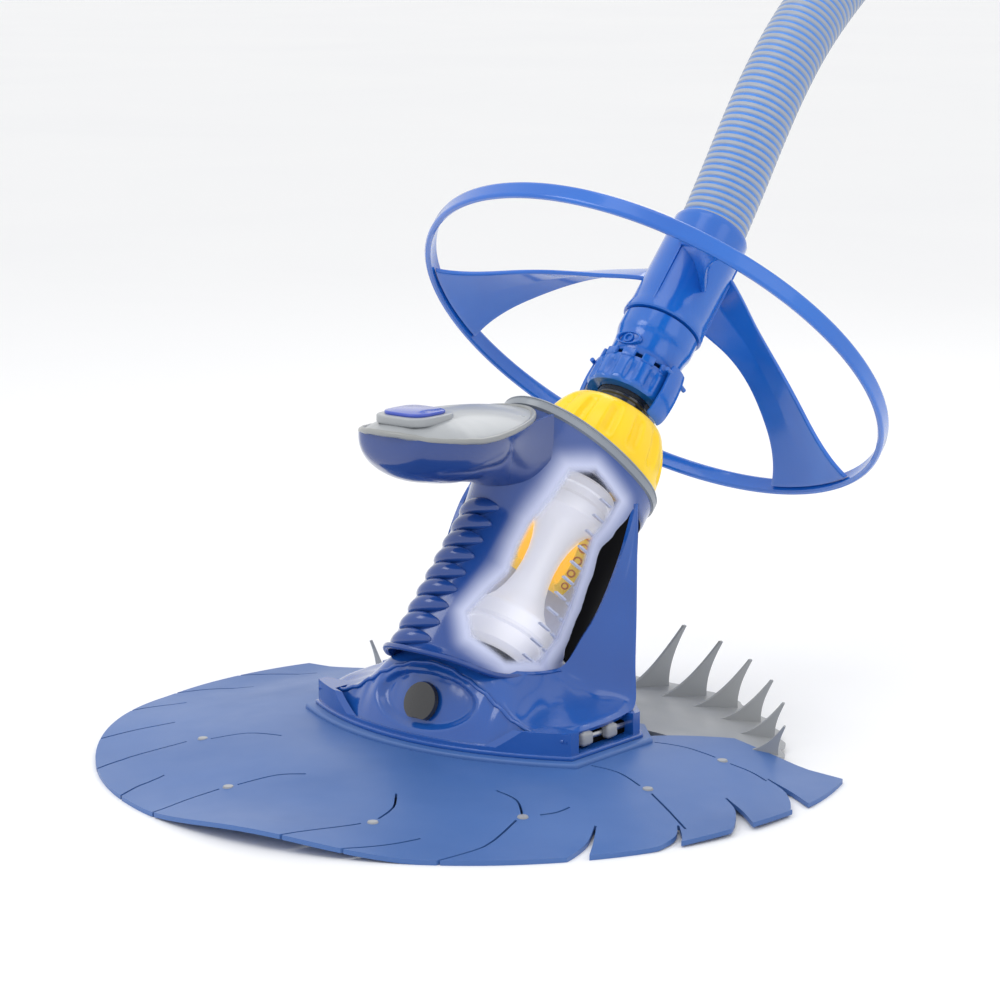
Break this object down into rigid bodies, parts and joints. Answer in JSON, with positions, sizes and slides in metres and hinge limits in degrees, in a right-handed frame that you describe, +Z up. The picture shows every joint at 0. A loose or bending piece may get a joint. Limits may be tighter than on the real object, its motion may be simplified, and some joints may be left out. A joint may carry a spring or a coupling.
{
  "type": "pool cleaner",
  "caption": "Suction-side automatic pool cleaner: flexible round skirt with fins, leaning diaphragm housing with handle, hand nut, swivel pipe, deflector wheel and leader hose.",
  "frame": {"origin": "centre of the suction mouth in the plane of the floor", "axes": "+Z up, nose and handle towards -Y, hose and fins towards +Y, +X to the cleaner's left seen from its nose; the pipe axis leans 42.7 degrees back from +Z"},
  "size_m": [0.494, 0.7861, 0.5761],
  "materials": {
    "skirt_blue": "satin moulded polyurethane, mid blue",
    "fin_grey": "satin moulded polyurethane, light grey",
    "chassis_blue": "glossy injection-moulded, bright blue",
    "housing_blue": "glossy injection-moulded, deep blue",
    "handle_navy": "glossy injection-moulded, navy",
    "trim_grey": "satin moulded, mid grey",
    "cover_grey": "satin gloss moulded, light grey",
    "pad_blue": "glossy insert, blue",
    "badge_dark": "domed glossy, dark grey",
    "nut_yellow": "glossy moulded, bright yellow",
    "saddle_yellow": "satin moulded, yellow",
    "pipe_black": "glossy moulded, near black",
    "hub_blue": "glossy moulded, azure blue",
    "ring_blue": "glossy moulded, lighter azure blue",
    "diaphragm_clear": "translucent milky elastomer",
    "window_clear": "clear moulded pane, faint blue",
    "frame_pale": "pale translucent moulded",
    "foot_black": "dull moulded, black",
    "latch_grey": "satin moulded, light grey",
    "bush_white": "plain bearing plastic, off white",
    "seal_black": "dull black elastomer",
    "steel": "drawn stainless",
    "ballast_iron": "coated casting",
    "foam": "closed-cell foam, off white",
    "hose_grey": "ribbed extruded hose, grey with light-blue grooves"
  },
  "bodies": {
    "body": {"foot_pad": "foot_black", "disc_retainer": "foot_black", "flexible_disc": "skirt_blue", "fin_disc": "fin_grey", "chassis_base": "chassis_blue", "chassis_cover": "chassis_blue", "side_wall_right": "chassis_blue", "side_wall_left": "chassis_blue", "chassis_front": "chassis_blue", "round_badge": "badge_dark", "latch_pin_right": "steel", "latch_pin_left": "steel", "throat_tube": "foot_black", "ballast_weights": "ballast_iron", "housing_left": "housing_blue", "housing_right": "housing_blue", "side_window": "window_clear", "louvres": "housing_blue", "top_trim": "trim_grey", "diaphragm": "diaphragm_clear", "lower_ring": "frame_pale", "upper_ring": "frame_pale", "saddle": "saddle_yellow", "cassette_frame": "frame_pale", "handle_bowl": "handle_navy", "handle_cover": "cover_grey", "handle_pad": "cover_grey", "badge_plate": "pad_blue", "float_block": "foam", "foot_screws": "steel"},
    "swivel": {"swivel_pipe": "pipe_black", "hose_cuff": "hub_blue", "cuff_seal": "seal_black", "hose": "hose_grey", "far_cuff": "hose_grey"},
    "nut": {"hand_nut": "nut_yellow", "swivel_bush": "bush_white"},
    "collar": {"lock_collar": "hub_blue", "lever_pins": "steel"},
    "lever_right": {"lock_lever_right": "hub_blue"},
    "lever_left": {"lock_lever_left": "hub_blue"},
    "wheel": {"wheel_sleeve": "hub_blue", "wheel_ring": "ring_blue", "wheel_spoke_1": "ring_blue", "wheel_spoke_2": "ring_blue", "wheel_spoke_3": "ring_blue"},
    "latch_right": {"latch_right": "latch_grey"},
    "latch_left": {"latch_left": "latch_grey"}
  },
  "joints": [
    {"name": "hose_swivel", "type": "hinge", "parent": "body", "child": "swivel", "pos_m": [0, -0.036, 0], "axis": [0, 0.6782, 0.7349], "continuous": true},
    {"name": "nut_turn", "type": "hinge", "parent": "body", "child": "nut", "pos_m": [0, -0.036, 0], "axis": [0, 0.6782, 0.7349], "range_deg": [0, 90]},
    {"name": "collar_turn", "type": "hinge", "parent": "swivel", "child": "collar", "pos_m": [0, -0.036, 0], "axis": [0, 0.6782, 0.7349], "range_deg": [0, 45]},
    {"name": "lever_right_open", "type": "hinge", "parent": "collar", "child": "lever_right", "pos_m": [0.0324, 0.17355, 0.22709], "axis": [0, -0.7349, 0.6782], "range_deg": [0, 22]},
    {"name": "lever_left_open", "type": "hinge", "parent": "collar", "child": "lever_left", "pos_m": [-0.0324, 0.17355, 0.22709], "axis": [0, 0.7349, -0.6782], "range_deg": [0, 22]},
    {"name": "wheel_spin", "type": "hinge", "parent": "swivel", "child": "wheel", "pos_m": [0, -0.036, 0], "axis": [0, 0.6782, 0.7349], "continuous": true},
    {"name": "latch_right_lift", "type": "hinge", "parent": "body", "child": "latch_right", "pos_m": [0.099, 0.002, 0.0275], "axis": [0, -1, 0], "range_deg": [0, 60]},
    {"name": "latch_left_lift", "type": "hinge", "parent": "body", "child": "latch_left", "pos_m": [-0.099, 0.002, 0.0275], "axis": [0, 1, 0], "range_deg": [0, 60]}
  ]
}
